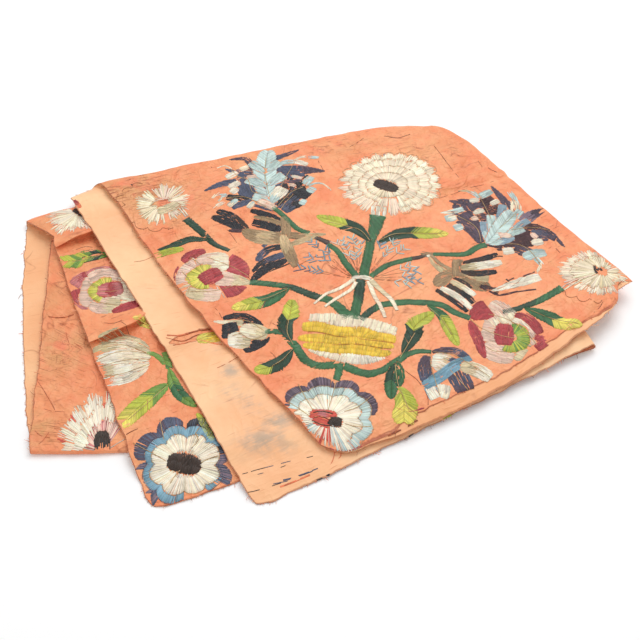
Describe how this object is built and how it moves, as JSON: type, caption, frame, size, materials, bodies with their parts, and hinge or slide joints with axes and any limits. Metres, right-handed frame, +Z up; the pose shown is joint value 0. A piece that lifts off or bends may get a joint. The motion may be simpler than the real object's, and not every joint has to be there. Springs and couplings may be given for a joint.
{
  "type": "embroidered silk panel",
  "caption": "Lined silk panel embroidered with flowers and birds, folded into quarters and fanned out flat, one front edge turned back up.",
  "frame": {"origin": "on the surface that the folded panel lies on, under the middle of its outline", "axes": "+X to the right along the longest side of the folded stack, towards the right fold; +Y towards the roll at the back; +Z up from the surface"},
  "size_m": [0.7289, 0.5697, 0.025],
  "materials": {
    "embroidered_silk": "worn coral silk with satin-stitch embroidery, soft sheen",
    "silk_lining": "thin peach silk, soft sheen"
  },
  "bodies": {
    "root": {"embroidered_silk": "embroidered_silk", "silk_lining": "silk_lining"}
  },
  "joints": []
}
